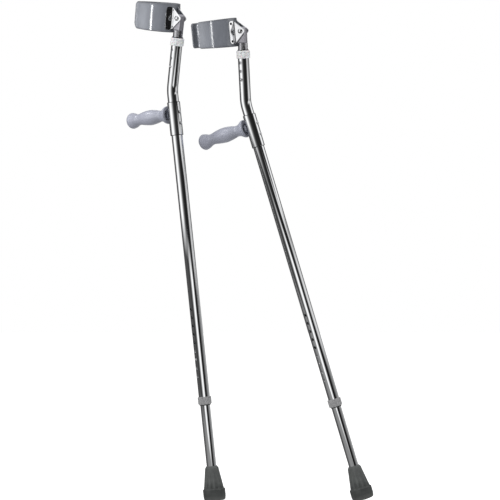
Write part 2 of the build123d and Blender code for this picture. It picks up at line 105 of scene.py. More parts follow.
PIVOT_S = 162.5
PIVOT_R = 3.0
THREAD_DEPTH = 0.32
NUT_HALF_WIDTH = 5.0
YOKE_WIDTH = 15.0
EAR_INNER_Y = YOKE_WIDTH / 2 + 0.9
PLATE = 1.8
EAR_OUTER_Y = EAR_INNER_Y + PLATE
EAR_HALF_HEIGHT = 23.5
EAR_TIP_X = 14.0
FOLD_R = 3.0
FLANGE_LIE = 22.0
FLANGE_WIDTH = 13.0
FLANGE_HEIGHT = 52.0
BRACKET_DROP = 1.5
RIVET_SPACING = 39.5

CUFF_R = 52.8
CUFF_WALL = 4.0
CUFF_AHEAD = 68.9
CUFF_DROP = 1.1
CUFF_BACK_HEIGHT = 65.0
CUFF_FRONT_HEIGHT = 57.0
CUFF_GAP = (20.0, 66.0)
CUFF_CORNER_R = 11.0
WAVE_DEPTH = 0.22         # of the cuff's wall, at its front
CUFF_DIPS = {"left": 1.5, "right": 3.0}

FOLD_Y = -(EAR_OUTER_Y + FOLD_R)
CUFF_SLOPE = (CUFF_BACK_HEIGHT - CUFF_FRONT_HEIGHT) / 4 / CUFF_R
LIE_COS, LIE_SIN = cos(radians(FLANGE_LIE)), sin(radians(FLANGE_LIE))
FOLD_X = (CUFF_R + 0.02 + FOLD_R + PLATE + FOLD_Y * LIE_SIN) / LIE_COS - CUFF_AHEAD

# ---- The camera and the room, metres ----
VIEW_TARGET = Vector((0.0028, -0.0227, 0.5675))
VIEW_DISTANCE = 5.113
VIEW_RISE = 0.3           # degrees above level
LENS = 163.0
SURROUND_R = 1.5


# ---- Frames ----
def shifted(x, y, z):
    return Matrix.Translation(Vector((x, y, z)) * MM)


def turned_by(degrees_, axis):
    return Matrix.Rotation(radians(degrees_), 4, axis)


def crutch_frame(side):
    """Origin in the middle of the sole, +Z up the shaft, -X along the grip."""
    mounts = {mount["name"]: mount for mount in frame["record"]["mounts"]}
    sole, hold = mounts[f"{side}_tip_sole"], mounts[f"{side}_hand_hold"]
    up, back = -Vector(sole["axis"]), -Vector(hold["axis"])
    turn = Matrix((back, up.cross(back), up)).transposed().to_4x4()
    return Matrix.Translation(Vector(sole["pos_m"])) @ turn


def frames_of(side):
    """The named frames of one crutch."""
    crutch = crutch_frame(side)
    upper = crutch @ shifted(0, 0, BEND_Z) @ turned_by(BEND_ANGLE, "Y")
    pivot = upper @ shifted(0, 0, PIVOT_S)
    cuff = pivot @ turned_by(-CUFF_DIPS[side], "Y")
    outward = turned_by(BUTTON_ANGLE, "Z") @ turned_by(90, "Y")
    return {
        "crutch": crutch, "upper": upper, "pivot": pivot, "cuff": cuff,
        "bolt": cuff @ turned_by(-90, "X"),
        "grip": crutch @ shifted(0, 0, GRIP_Z) @ turned_by(-90, "Y"),
        "foot": crutch @ shifted(0, 0, TUBE_FOOT_Z),
        "head": upper @ shifted(0, 0, TUBE_HEAD_S) @ turned_by(180, "X"),
        "lower_button": crutch @ shifted(0, 0, LOWER_BUTTON_Z) @ outward,
        "upper_button": upper @ shifted(0, 0, UPPER_BUTTON_S) @ outward,
    }


# ---- Mesh helpers ----
SQUARE = ((-1, -1), (1, -1), (1, 1), (-1, 1))


class Shell:
    """Points and faces of one piece, gathered ring by ring, in millimetres."""

    def __init__(self):
        self.points = []
        self.faces = []

    def add(self, points):
        start = len(self.points)
        self.points.extend(tuple(point) for point in points)
        return list(range(start, len(self.points)))

    def face(self, corners):
        corners = list(dict.fromkeys(corners))
        if len(corners) > 2:
            self.faces.append(corners)

    def skin(self, rings, closed=False, capped=False):
        """Quads from each closed ring to the next, which has as many points."""
        for ring, following in zip(rings, rings[1:] + (rings[:1] if closed else [])):
            for i, corner in enumerate(ring):
                j = (i + 1) % len(ring)
                self.face((corner, ring[j], following[j], following[i]))
        if capped:
            self.face(rings[0])
            self.face(rings[-1])
        return self

    def include(self, other, place):
        """Adds another shell, moved by place, whose translation is in metres."""
        spots = [(place @ (Vector(point) * MM)) / MM for point in other.points]
        start = self.add(spots)[0]
        self.faces.extend([start + corner for corner in face] for face in other.faces)
        return self


def rounded(corners, closed=False, steps=5):
    """Corner points (x, y) or (x, y, radius), with an arc at each corner that has a radius."""
    points = []
    for i, corner in enumerate(corners):
        at_end = not closed and i in (0, len(corners) - 1)
        if len(corner) < 3 or at_end:
            points.append(tuple(corner[:2]))
            continue
        here = Vector(corner[:2])
        back = (Vector(corners[i - 1][:2]) - here).normalized()
        ahead = (Vector(corners[(i + 1) % len(corners)][:2]) - here).normalized()
        half = back.angle(ahead) / 2
        centre = here + (back + ahead).normalized() * corner[2] / sin(half)
        start = here + back * corner[2] / tan(half) - centre
        end = here + ahead * corner[2] / tan(half) - centre
        first = atan2(start.y, start.x)
        sweep = (atan2(end.y, end.x) - first + pi) % (2 * pi) - pi
        for step in range(steps + 1):
            angle = first + sweep * step / steps
            points.append((centre.x + corner[2] * cos(angle), centre.y + corner[2] * sin(angle)))
    return points


def spaced(loop, step):
    """The same closed line with points no further apart than step."""
    result = []
    for start, end in zip(loop, loop[1:] + loop[:1]):
        start, end = Vector(start), Vector(end)
        parts = max(1, ceil((end - start).length / step))
        result.extend(tuple(start.lerp(end, part / parts)) for part in range(parts))
    return result


def dome(radius, height, base, steps=7):
    """(radius, height) points over a low spherical cap, from its rim to its middle."""
    ball = (radius**2 + height**2) / (2 * height)
    widest = asin(radius / ball)
    return [(ball * sin(widest * (1 - step / steps)),
             base + height - ball + ball * cos(widest * (1 - step / steps)))
            for step in range(steps + 1)]


def smooth_line(stations, parts):
    """A Catmull-Rom curve through the stations, in so many parts between each two."""
    padded = [stations[0], *stations, stations[-1]]
    line = []
    for i in range(1, len(padded) - 2):
        a, b, c, d = (Vector(padded[i + k]) for k in (-1, 0, 1, 2))
        for part in range(parts):
            t = part / parts
            spot = 0.5 * (2 * b + (c - a) * t + (2 * a - 5 * b + 4 * c - d) * t**2
                          + (3 * b - a - 3 * c + d) * t**3)
            line.append(tuple(spot))
    return line + [tuple(stations[-1])]


def turned(radius, height, angle):
    return radius * cos(angle), radius * sin(angle), height


def lathe(outline, columns, shape=turned, closed=False):
    """A surface turned about Z through (radius, height) points.

    shape(radius, height, angle) gives the x, y and z of each point.
    """
    shell = Shell()
    rings = []
    for radius, height in outline:
        if radius < 1e-6:
            rings.append(shell.add([(0, 0, height)]) * columns)
            continue
        rings.append(shell.add(shape(radius, height, 2 * pi * column / columns)
                               for column in range(columns)))
    return shell.skin(rings, closed)


def inside(point, loop):
    """True if the point is inside the closed loop."""
    found = False
    for (x1, y1), (x2, y2) in zip(loop, loop[1:] + loop[:1]):
        if (y1 > point[1]) != (y2 > point[1]):
            if point[0] < x1 + (point[1] - y1) / (y2 - y1) * (x2 - x1):
                found = not found
    return found


def inset(loop, distance):
    """The loop moved to its left, which is into the plate for an outline and for a hole."""
    moved = []
    for i, point in enumerate(loop):
        along = (Vector(loop[(i + 1) % len(loop)]) - Vector(loop[i - 1])).normalized()
        moved.append((point[0] - along.y * distance, point[1] + along.x * distance))
    return moved


def cut_plate(outline, holes, thickness, edge, across, up, place, step=1.3):
    """A plate of an outline (anticlockwise) with holes (clockwise) and rounded rims.

    across and up are where the inner points of its faces go; place(u, v, w) puts a point of
    the flat plate, w from its middle surface, where it belongs.
    """
    loops = [spaced(loop, step) for loop in (outline, *holes)]
    flats = [inset(loop, edge) for loop in loops]
    points, edges = [], []
    for flat in flats:
        start = len(points)
        points.extend(Vector(point) for point in flat)
        edges.extend((start + i, start + (i + 1) % len(flat)) for i in range(len(flat)))
    margin, *kept_clear = (inset(flat, step * 0.5) for flat in flats)
    points.extend(Vector(spot) for spot in ((u, v) for u in across for v in up)
                  if inside(spot, margin) and not any(inside(spot, hole) for hole in kept_clear))
    found, _, triangles, sources, _, _ = delaunay_2d_cdt(
        points, edges, [list(range(len(flats[0])))], 1, 1e-5)
    new_index = {old: new for new, olds in enumerate(sources) for old in olds}
    half = thickness / 2
    shell = Shell()
    top, base = (shell.add(place(spot.x, spot.y, w) for spot in found) for w in (half, -half))
    for triangle in triangles:
        middle = sum((found[corner] for corner in triangle), Vector((0, 0))) / len(triangle)
        if any(inside(middle, hole) for hole in flats[1:]):
            continue
        for face in (top, base):
            shell.face([face[corner] for corner in triangle])
    start = 0
    for loop, flat in zip(loops, flats):
        picked = [new_index[start + i] for i in range(len(flat))]
        start += len(flat)
        rings = [[top[i] for i in picked]]
        soft = inset(loop, edge * 0.3)
        for line, level in ((soft, half - edge * 0.3), (loop, half - edge),
                            (loop, edge - half), (soft, edge * 0.3 - half)):
            rings.append(shell.add(place(u, v, level) for u, v in line))
        rings.append([base[i] for i in picked])
        shell.skin(rings)
    return shell


def spread(low, high, step):
    """Evenly spaced numbers from low to high, about step apart."""
    parts = max(1, round((high - low) / step))
    return [low + (high - low) * part / parts for part in range(parts + 1)]


def circle(x, y, radius, count=40):
    """A clockwise loop."""
    return [(x + radius * cos(2 * pi * i / count), y - radius * sin(2 * pi * i / count))
            for i in range(count)]


# ---- Materials ----
MATERIALS = {}            # by name, as the finishes are made
EVEN = (1, 1, 1)          # the stretch of a pattern with grains as long as wide
# painted shade: the dark line at each end of the grip sleeve, where it meets the shaft
SLEEVE_END_SHADE = (0.03, 0.03, 0.032, 1)
END_SHADE_FULL, END_SHADE_GONE = 0.0010, 0.0016    # how far from a sleeve's end its painted shade is full and gone, metres
# black of the painted shade on a collar's ring past its lip, at the gap to the tube
LIP_SHADE_COLOUR = (0.012, 0.012, 0.013, 1)
# painted shade along the rims of the cuff's cover
RIM_SHADE_COLOUR = (0.05, 0.053, 0.06, 1)
DUST = (0.17, 0.17, 0.165, 1)


class Finish:
    """A node material on one Principled shader.

    Its patterns lie in the frame that the piece was drawn in, or with own=False in the scene's.
    """

    def __init__(self, name, own=True, **sockets):
        self.own = own
        material = MATERIALS[name] = bpy.data.materials.new(name)
        material.use_nodes = True
        self.tree = material.node_tree
        self.shader = self.tree.nodes["Principled BSDF"]
        for socket, value in sockets.items():
            self.shader.inputs[socket.replace("_", " ")].default_value = value

    def feed(self, socket, source):
        """Links an output to a socket, or sets the socket to a value."""
        if hasattr(source, "node"):
            self.tree.links.new(source, socket)
        else:
            socket.default_value = source

    def node(self, kind, **inputs):
        made = self.tree.nodes.new(kind)
        for socket, source in inputs.items():
            self.feed(made.inputs[socket], source)
        return made

    def place(self):
        """Where a point of the surface is, metres."""
        if not self.own:
            return self.node("ShaderNodeTexCoord").outputs["Object"]
        return self.attribute(OWN_PLACE, "Vector")

    def attribute(self, name, output):
        """One of the mesh's own attributes."""
        reader = self.node("ShaderNodeAttribute")
        reader.attribute_name = name
        return reader.outputs[output]

    def noise(self, scale, stretch=EVEN, detail=4.0, rough=0.55):
        """Noise with about scale grains to a metre, squeezed along each axis by stretch."""
        squeezed = self.node("ShaderNodeMapping", Vector=self.place(), Scale=stretch)
        return self.node("ShaderNodeTexNoise", Vector=squeezed.outputs["Vector"], Scale=scale,
                         Detail=detail, Roughness=rough).outputs["Fac"]

    def ramp(self, source, stops):
        """Colours over a pattern: stops are (position, colour)."""
        ramp = self.node("ShaderNodeValToRGB", Fac=source)
        elements = ramp.color_ramp.elements
        while len(elements) < len(stops):
            elements.new(0.5)
        for element, (position, colour) in zip(elements, stops):
            element.position = position
            element.color = (*colour, 1)
        return ramp.outputs["Color"]

    def colour(self, source):
        self.feed(self.shader.inputs["Base Color"], source)

    def mixed(self, first, second, factor):
        mix = self.tree.nodes.new("ShaderNodeMix")
        mix.data_type = "RGBA"
        for socket, source in ((0, factor), (6, first), (7, second)):
            self.feed(mix.inputs[socket], source)
        return mix.outputs[2]

    def ranged(self, source, low, high, start=0.3, end=0.7):
        """A pattern's values from start to end, turned into values from low to high."""
        return self.node("ShaderNodeMapRange", Value=source, **{
            "From Min": start, "From Max": end, "To Min": low, "To Max": high}).outputs["Result"]

    def roughness(self, source, low, high):
        self.feed(self.shader.inputs["Roughness"], self.ranged(source, low, high))

    def bump(self, source, depth, strength):
        """Adds relief of that depth in millimetres on top of the relief already there."""
        bump = self.node("ShaderNodeBump", Height=source, Strength=strength, Distance=depth * MM)
        normal = self.shader.inputs["Normal"]
        if normal.links:
            self.feed(bump.inputs["Normal"], normal.links[0].from_socket)
        self.feed(normal, bump.outputs["Normal"])

    def lip_shade(self, colour):
        """The colour, but black as painted shade where the collar's ring stands out past its lip,
        at the gap to the tube.
        """
        lip = -COLLAR_OVERHANG * MM
        clear_of_shade = self.ranged(self.height(), 0, 1, lip, (0.3 - COLLAR_OVERHANG) * MM)
        return self.mixed(LIP_SHADE_COLOUR, colour, clear_of_shade)

    def height(self):
        """How high a point of the surface is, metres."""
        return self.parts_of_place()["Z"]

    def parts_of_place(self):
        """X, Y and Z of a point of the surface, metres."""
        return self.node("ShaderNodeSeparateXYZ", Vector=self.place()).outputs


def clouded(name, colours, rough, relief=None, *, cloud, grain=None, stops=(0.3, 0.7),
            lip_shade=False, own=True, **sockets):
    """A finish whose colour follows a cloud, and whose roughness and relief follow a grain.

    cloud and grain are the arguments of Finish.noise; without a grain the cloud does for both.
    """
    finish = Finish(name, own, **sockets)
    tint = finish.noise(*cloud)
    fine = finish.noise(*grain) if grain else tint
    colour = finish.ramp(tint, list(zip(stops, colours)))
    finish.colour(finish.lip_shade(colour) if lip_shade else colour)
    finish.roughness(fine, *rough)
    if relief:
        finish.bump(fine, *relief)


def drawn_chrome(name, shaded_span=None):
    """Bright chrome on drawn tube: long faint draw lines and a little handling haze.

    A shaded span, from one height to another, gets a dark line of painted shade at each of its
    ends.
    """
    finish = Finish(name, Metallic=1.0)
    lines = finish.noise(900, (1, 1, 0.02), 3)
    haze = finish.noise(35, (1, 1, 0.4), 3)
    colour = finish.ramp(lines, [(0.3, (0.80, 0.81, 0.82)), (0.7, (0.90, 0.91, 0.92))])
    # painted shade at each end of the span, where the sleeve meets the shaft
    if shaded_span:
        low, high = (end * MM for end in shaded_span)
        height = finish.height()
        foot = finish.ranged(height, 1.0, 0.0, low + END_SHADE_FULL, low + END_SHADE_GONE)
        head = finish.ranged(height, 0.0, 1.0, high - END_SHADE_GONE, high - END_SHADE_FULL)
        colour = finish.mixed(finish.mixed(colour, SLEEVE_END_SHADE, foot), SLEEVE_END_SHADE, head)
    finish.colour(colour)
    finish.roughness(haze, 0.02, 0.06)
    finish.bump(lines, 0.004, 0.5)


def cuff_vinyl():
    """Glossy dipped vinyl: slow waves in the coat, faint flow marks, fine grain, and painted shade
    darkening its rims.
    """
    finish = Finish("cuff_vinyl", Coat_Weight=0.6, Coat_Roughness=0.08)
    flow = finish.noise(45, (1, 1, 0.35), 4)
    waves = finish.noise(22, (1, 1, 0.6), 1)
    dents = finish.noise(95, (1, 1, 0.6), 2)
    grain = finish.noise(1300, EVEN, 2)
    coat = finish.ramp(flow, [(0.3, (0.132, 0.140, 0.158)), (0.7, (0.166, 0.176, 0.2))])
    # painted shade darkens the cover near its rims
    finish.colour(finish.mixed(coat, RIM_SHADE_COLOUR, finish.attribute(RIM_SHADE, "Fac")))
    finish.roughness(flow, 0.08, 0.26)
    for pattern, *relief in ((waves, 0.5, 0.5), (dents, 0.34, 0.8), (grain, 0.006, 0.4)):
        finish.bump(pattern, *relief)


def tip_rubber():
    """Moulded grey-black rubber, matt and dusty, its band darker and scuffed at the sole."""
    finish = Finish("tip_rubber")
    mottle = finish.noise(70, EVEN, 5)
    grain = finish.noise(1500, EVEN, 3)
    cone = finish.ramp(mottle, [(0.3, (0.082, 0.088, 0.086)), (0.7, (0.135, 0.142, 0.139))])
    band = finish.ramp(mottle, [(0.3, (0.044, 0.047, 0.046)), (0.7, (0.076, 0.081, 0.079))])
    on_cone = finish.ranged(finish.height(), 0, 1, 0.024, 0.040)
    worn = finish.ranged(finish.height(), 0.55, 0.0, 0.001, 0.012)
    finish.colour(finish.mixed(finish.mixed(band, cone, on_cone), DUST, worn))
    finish.roughness(grain, 0.5, 0.7)
    finish.bump(grain, 0.02, 0.5)


drawn_chrome("chrome_tube")
drawn_chrome("chrome_sleeve", SLEEVE_SPAN)
cuff_vinyl()
tip_rubber()
# brushed plating of the forearm's inner tube, with fine turned rings
clouded("satin_tube", ((0.50, 0.50, 0.52), (0.66, 0.66, 0.68)), (0.26, 0.42), (0.01, 0.6),
        cloud=(60, EVEN, 3), grain=(700, (0.05, 0.05, 1), 4), Metallic=1.0)
# plated sheet steel: softer shine, rolled grain, darker where the plating is thin
clouded("chrome_plate", ((0.80, 0.81, 0.83), (0.92, 0.92, 0.93)), (0.07, 0.14), (0.006, 0.5),
        cloud=(90, EVEN, 3), grain=(1400, (1, 1, 0.08), 4), Metallic=1.0)
# rivets left in their dark oxide, a little brighter where they are rubbed
clouded("dark_steel", ((0.02, 0.021, 0.024), (0.09, 0.09, 0.10)), (0.3, 0.5), (0.01, 0.5),
        cloud=(500, EVEN, 5), stops=(0.35, 0.75), Metallic=1.0)
# soft lavender-grey grip plastic with a fine moulded grain and a satin shine
clouded("grip_vinyl", ((0.305, 0.318, 0.375), (0.37, 0.382, 0.455)), (0.30, 0.36), (0.004, 0.4),
        cloud=(28, EVEN, 3), grain=(1600, EVEN, 2), stops=(0.32, 0.68), Coat_Weight=0.25,
        Coat_Roughness=0.18)
# milky translucent plastic, with painted shade in black on the ring past its lip
clouded("collar_clear", ((0.50, 0.50, 0.51), (0.96, 0.96, 0.97)), (0.24, 0.38), (0.02, 0.3),
        cloud=(260, EVEN, 5, 0.65), stops=(0.36, 0.64), lip_shade=True, Subsurface_Weight=0.1,
        Subsurface_Scale=0.001, Coat_Weight=0.2)
# grey plastic with a frosty, grainy face, with painted shade in black on the ring past its lip
clouded("collar_grey", ((0.17, 0.17, 0.17), (0.56, 0.56, 0.57)), (0.3, 0.5), (0.05, 0.5),
        cloud=(420, EVEN, 6, 0.7), stops=(0.36, 0.64), lip_shade=True, Coat_Weight=0.2)
# machined satin steel with a faint lengthwise tool grain
clouded("yoke_steel", ((0.46, 0.45, 0.49), (0.58, 0.57, 0.61)), (0.38, 0.52), (0.008, 0.5),
        cloud=(60, EVEN, 3), grain=(1800, (1, 1, 0.06), 3), Metallic=0.85)
# polished steel, faintly turned
clouded("button_steel", ((0.78, 0.78, 0.79), (0.93, 0.93, 0.94)), (0.12, 0.24), (0.004, 0.4),
        cloud=(700, EVEN, 4), own=False, Metallic=1.0)
# blued spring strip
clouded("spring_steel", ((0.16, 0.17, 0.21), (0.36, 0.35, 0.35)), (0.25, 0.4),
        cloud=(120, EVEN, 4), own=False, Metallic=1.0)
# natural nylon, slightly waxy
clouded("nylon", ((0.50, 0.49, 0.46), (0.64, 0.63, 0.60)), (0.38, 0.52),
        cloud=(220, EVEN, 3), own=False, Subsurface_Weight=0.2, Subsurface_Scale=0.002)


# ---- Pieces, each drawn as a shell in its own frame ----
def tube_wall(spot, length, outer_r, holes, extra_rows=()):
    """A tube's wall with round button holes; spot(radius, angle, distance) is a point on it.

    Each hole takes the place of a square patch, cells wide to each side of its middle.
    """
    inner_r = outer_r - WALL
    edge = 0.25
    columns, cells = 96, 6
    step = 2 * pi * outer_r / columns
    start_angle = radians(BUTTON_ANGLE)
    distances = {0.0, edge, length - edge, length, *extra_rows}
    for hole in holes:
        distances.update(hole + k * step for k in range(-cells, cells + 1))
    distances = sorted({round(distance, 4) for distance in distances})
    shell = Shell()
    layers = []
    for radius, trim in ((outer_r, edge), (inner_r, 0)):
        rows = []
        for distance in distances:
            here = radius - (trim if distance in (0.0, distances[-1]) else 0)
            rows.append(shell.add(
                spot(here, start_angle + 2 * pi * column / columns, distance)
                for column in range(columns)))
        layers.append(rows)
    blocks = [distances.index(round(hole - cells * step, 4)) for hole in holes]
    for rows in layers:
        for row in range(len(rows) - 1):
            crossing = any(block <= row < block + 2 * cells for block in blocks)
            for column in range(columns):
                if crossing and (column < cells or column >= columns - cells):
                    continue
                beside = (column + 1) % columns
                shell.face((rows[row][column], rows[row][beside],
                            rows[row + 1][beside], rows[row + 1][column]))
    outer, inner = layers
    shell.skin([outer[0], inner[0]])
    shell.skin([outer[-1], inner[-1]])
    border = ([(-cells, q) for q in range(-cells, cells)]
              + [(p, cells) for p in range(-cells, cells)]
              + [(cells, q) for q in range(cells, -cells, -1)]
              + [(p, -cells) for p in range(cells, -cells, -1)])
    for hole, block in zip(holes, blocks):
        rings = [[outer[block + cells + p][q % columns] for p, q in border]]
        for flare, radius in ((0.5, outer_r), (0.14, outer_r), (0, outer_r - 0.16),
                              (0, inner_r + 0.1), (0, inner_r)):
            ring = []
            for p, q in border:
                around = atan2(p, q)
                across = (HOLE_R + flare) * cos(around)
                ring.append(spot(radius, start_angle + asin(across / radius),
                                 hole + (HOLE_R + flare) * sin(around)))
            rings.append(shell.add(ring))
        rings.append([inner[block + cells + p][q % columns] for p, q in border])
        shell.skin(rings)
    return shell


def main_tube():
    """The bent shaft, from its foot up round the bend to the forearm tube's head."""
    tangent = BEND_RADIUS * tan(radians(BEND_ANGLE) / 2)
    straight = BEND_Z - tangent - TUBE_FOOT_Z
    arc = BEND_RADIUS * radians(BEND_ANGLE)
    length = straight + arc + TUBE_HEAD_S - tangent

    def spot(radius, angle, distance):
        if distance < straight:
            x, z, tilt = 0, TUBE_FOOT_Z + distance, 0
        elif distance < straight + arc:
            tilt = (distance - straight) / BEND_RADIUS
            x = BEND_RADIUS * (1 - cos(tilt))
            z = BEND_Z - tangent + BEND_RADIUS * sin(tilt)
        else:
            tilt = radians(BEND_ANGLE)
            along = tangent + distance - straight - arc
            x, z = along * sin(tilt), BEND_Z + along * cos(tilt)
        across = radius * cos(angle)
        return x + across * cos(tilt), radius * sin(angle), z - across * sin(tilt)

    holes = [LOWER_BUTTON_Z + k * HOLE_PITCH - TUBE_FOOT_Z for k in LOWER_HOLES]
    holes += [straight + arc - tangent + UPPER_BUTTON_S + k * HOLE_PITCH for k in UPPER_HOLES]
    bend_rows = spread(straight, straight + arc, 1.4)
    straight_rows = spread(180, straight - 4, 40)[1:]
    return tube_wall(spot, length, OUTER_R, holes, [*bend_rows, *straight_rows])


def inner_tube(span, button_at):
    low, high = span

    return tube_wall(lambda radius, angle, distance: turned(radius, low + distance, angle),
                     high - low, INNER_R, [button_at - low])


def snap_button():
    """Domed button with a flange, along +Z from the tube's axis."""
    top = OUTER_R + 1.2
    return lathe([(0, 6.9), *rounded([(3.8, 6.9), (4.0, 7.1), (4.0, 7.9), (BUTTON_R, 7.9)]),
                  (BUTTON_R, top - 0.1), *dome(BUTTON_R - 0.12, 1.2, top)], 40)


def spring_clip():
    """U-shaped leaf under a button, which points along +X; its legs hang from the turn."""
    reach, leaf, half_width, turn_at = 6.8, 0.7, 3.5, 22.0
    middle = reach - leaf / 2
    line = [(-middle, z, pi) for z in spread(-14.0, turn_at, 3)]
    line += [(middle * cos(angle), turn_at + middle * sin(angle), angle)
             for angle in spread(0, pi, pi / 20)[1:-1][::-1]]
    line += [(middle, z, 0.0) for z in spread(-7.0, turn_at, 3)[::-1]]
    section = rounded([(x * leaf / 2, y * half_width, 0.2) for x, y in SQUARE],
                      closed=True, steps=3)
    shell = Shell()
    rings = [shell.add((x + out * cos(angle), y, z + out * sin(angle)) for out, y in section)
             for x, z, angle in line]
    return shell.skin(rings, capped=True)


def collar():
    """Ribbed collar about a tube that ends at 0 and rises from there."""
    low = -COLLAR_OVERHANG
    high = low + COLLAR_LENGTH
    lip_top = low + 1.7
    bore = OUTER_R + FREE_GAP
    ribbed = spread(low + 2.4, high - 1.2, 1.1)
    # the narrow ring from here to the lip stands out past it; its finish paints it black as shade
    rim = low - 1.7
    outline = rounded([
        (INNER_R + FREE_GAP, rim + 0.2), (INNER_R + FREE_GAP + 0.2, rim), (INNER_R + 1.4, rim, 0.3),
        (INNER_R + 1.4, low - 0.05), (INNER_R + 1.45, low), (COLLAR_R - 2.2, low, 0.8),
        (COLLAR_R, low + 2.0, 0.8), (COLLAR_R, low + 2.4)])
    outline += [(COLLAR_R, height) for height in ribbed[1:-1]]
    outline += rounded([(COLLAR_R, high - 1.2), (COLLAR_R, high, 0.9), (bore, high, 0.4),
                        (bore, lip_top), (INNER_R + FREE_GAP, lip_top)])

    def shape(radius, height, angle):
        depth = min(max(height - low - 2.4, 0), max(high - 1.2 - height, 0), 1.0)
        if radius > bore + 1:
            radius -= RIB_DEPTH * depth * (0.5 + 0.5 * cos(COLLAR_RIBS * angle)) ** 2
        return turned(radius, height, angle)

    return lathe(outline, COLLAR_RIBS * 10, shape, closed=True)


def rubber_tip():
    """Base band, then a cone whose flutes deepen towards the band and end in pockets."""
    shoulder_r, shoulder_z = 15.3, 73.4
    cone_r, cone_z = TIP_BASE_R - 2.5, TIP_BASE_HEIGHT + 1.2
    seat = LOWER_TUBE_SPAN[0] - 1.5
    low_part = rounded([(0, 0), (TIP_BASE_R - 1.6, 0, 3.4), (TIP_BASE_R, 9.0, 12.0),
                        (TIP_BASE_R, TIP_BASE_HEIGHT, 0.7), (cone_r + 0.8, cone_z, 0.6),
                        (cone_r - 0.1, cone_z + 1.4)], steps=7)
    cone = [(cone_r + (shoulder_r - cone_r) * (z - cone_z) / (shoulder_z - cone_z), z)
            for z in spread(cone_z + 1.4, shoulder_z - 1, 1.3)]
    top_part = rounded([(shoulder_r + 0.15, shoulder_z - 0.9), (shoulder_r, shoulder_z, 1.6),
                        (12.0, TIP_HEIGHT, 0.8), (INNER_R + SNUG, TIP_HEIGHT),
                        (INNER_R + SNUG, seat), (0, seat)])

    def shape(radius, height, angle):
        if cone_z + 0.9 < height < shoulder_z and radius > INNER_R + 1:
            share = (shoulder_z - 3 - height) / (shoulder_z - 3 - cone_z)
            ends = min(1, (height - cone_z - 0.9) / 1.6)
            depth = FLUTE_DEPTH * max(0, share) ** 0.85 * ends
            wave = 0.5 + 0.5 * cos(TIP_FLUTES * angle)
            radius -= depth * (wave * wave * (3 - 2 * wave)) ** 1.6
        return turned(radius, height, angle)

    return lathe(low_part + cone[1:] + top_part, TIP_FLUTES * 16, shape)


def grip_sleeve():
    """Sleeve over the shaft, with soft ends."""
    low, high = SLEEVE_SPAN
    bore = OUTER_R + SNUG
    outline = rounded([(bore, low + 0.3), (bore + 0.3, low), (SLEEVE_R, low, 1.1),
                       (SLEEVE_R, high, 1.1), (bore + 0.3, high), (bore, high - 0.3)])
    rows = [(SLEEVE_R, height) for height in spread(low + 2, high - 2, 12)]
    middle = len(outline) // 2
    return lathe(outline[:middle] + rows + outline[middle:], 96, closed=True)


def grip_bar():
    """Stub tube, its foot saddled to the sleeve with a narrow weld fillet."""
    inner = GRIP_BAR_R - 1.6
    far = GRIP_REACH - 14

    def shape(radius, height, angle):
        x, y, height = turned(radius, height, angle)
        if height < SLEEVE_R + 3:
            height += sqrt((SLEEVE_R + SNUG) ** 2 - y * y) - SLEEVE_R
        return x, y, height

    outline = [(inner, SLEEVE_R), (GRIP_BAR_R + 1.3, SLEEVE_R), (GRIP_BAR_R + 0.7, SLEEVE_R + 0.35),
               (GRIP_BAR_R + 0.25, SLEEVE_R + 0.9), (GRIP_BAR_R, SLEEVE_R + 1.7),
               (GRIP_BAR_R, 30), (GRIP_BAR_R, far), (inner, far)]
    return lathe(outline, 72, shape, closed=True)


def hand_grip():
    """Moulded grip along +Z; +X is up. Its stations are (distance, above, below) the axis."""
    stations = [
        (20.6, 20.2, 20.2), (23.6, 19.5, 19.6), (28.5, 16.4, 16.8), (34, 13.5, 13.9),
        (41, 12.5, 12.6), (54, 15.4, 15.2), (71, 17.5, 17.2), (89, 16.0, 15.3), (103, 12.9, 12.9),
        (111, 12.5, 14.3), (118.5, 15.2, 17.6), (126, 17.3, 19.4),
    ]
    bulb = stations[-1]
    line = smooth_line(stations, 6)
    reach = GRIP_REACH - bulb[0]
    for step in range(1, 12):
        angle = pi / 2 * step / 12
        line.append((bulb[0] + reach * sin(angle), bulb[1] * cos(angle), bulb[2] * cos(angle)))
    bore, bore_end = GRIP_BAR_R + SNUG, 127.0
    back = rounded([(bore, 23.0), (13.9, 23.0, 0.9), (13.9, 18.6, 0.5), (20.2, 18.6, 1.6),
                    (20.2, 20.6)])
    shell = Shell()
    columns = 96
    angles = [2 * pi * column / columns for column in range(columns)]
    rings = [shell.add(turned(radius, height, angle) for angle in angles)
             for radius, height in [(bore, bore_end), *back]]
    for distance, above, below in line[1:]:
        middle, half = (above - below) / 2, (above + below) / 2
        rings.append(shell.add(
            (middle + half * cos(angle), half * 0.985 * sin(angle), distance) for angle in angles))
    tip = shell.add([(-0.3, 0, GRIP_REACH)]) * columns
    plug = shell.add([(0, 0, bore_end)]) * columns
    return shell.skin([plug, *rings, tip])


def grip_rivets():
    """Two domed rivets behind the grip."""
    seat = SLEEVE_R + 0.02
    rivet = lathe([(0, 9.5), (2.4, 9.5), (2.4, seat), (4.05, seat), (4.2, seat + 0.2),
                   *dome(4.2, 1.7, seat + 0.2, 8)], 40)
    shell = Shell()
    for height in GRIP_RIVET_Z:
        shell.include(rivet, shifted(0, 0, height) @ turned_by(90, "Y"))
    return shell


def yoke():
    """Square tang with a cross bore, its corners broken."""
    seat = UPPER_TUBE_SPAN[1] - PIVOT_S
    outline = rounded([(-9, seat, 0.8), (8.75, seat, 0.8), (8.75, 6.6, 1.2), (-1.5, 9.6, 2.5),
                       (-9, 4.0, 1.5)], closed=True)
    return cut_plate(outline, [circle(0, 0, PIVOT_R + 0.08)], YOKE_WIDTH, 0.6,
                     spread(-8, 8, 2.5), spread(seat, 9, 2.5), lambda u, v, w: (u, w, v), step=2.0)


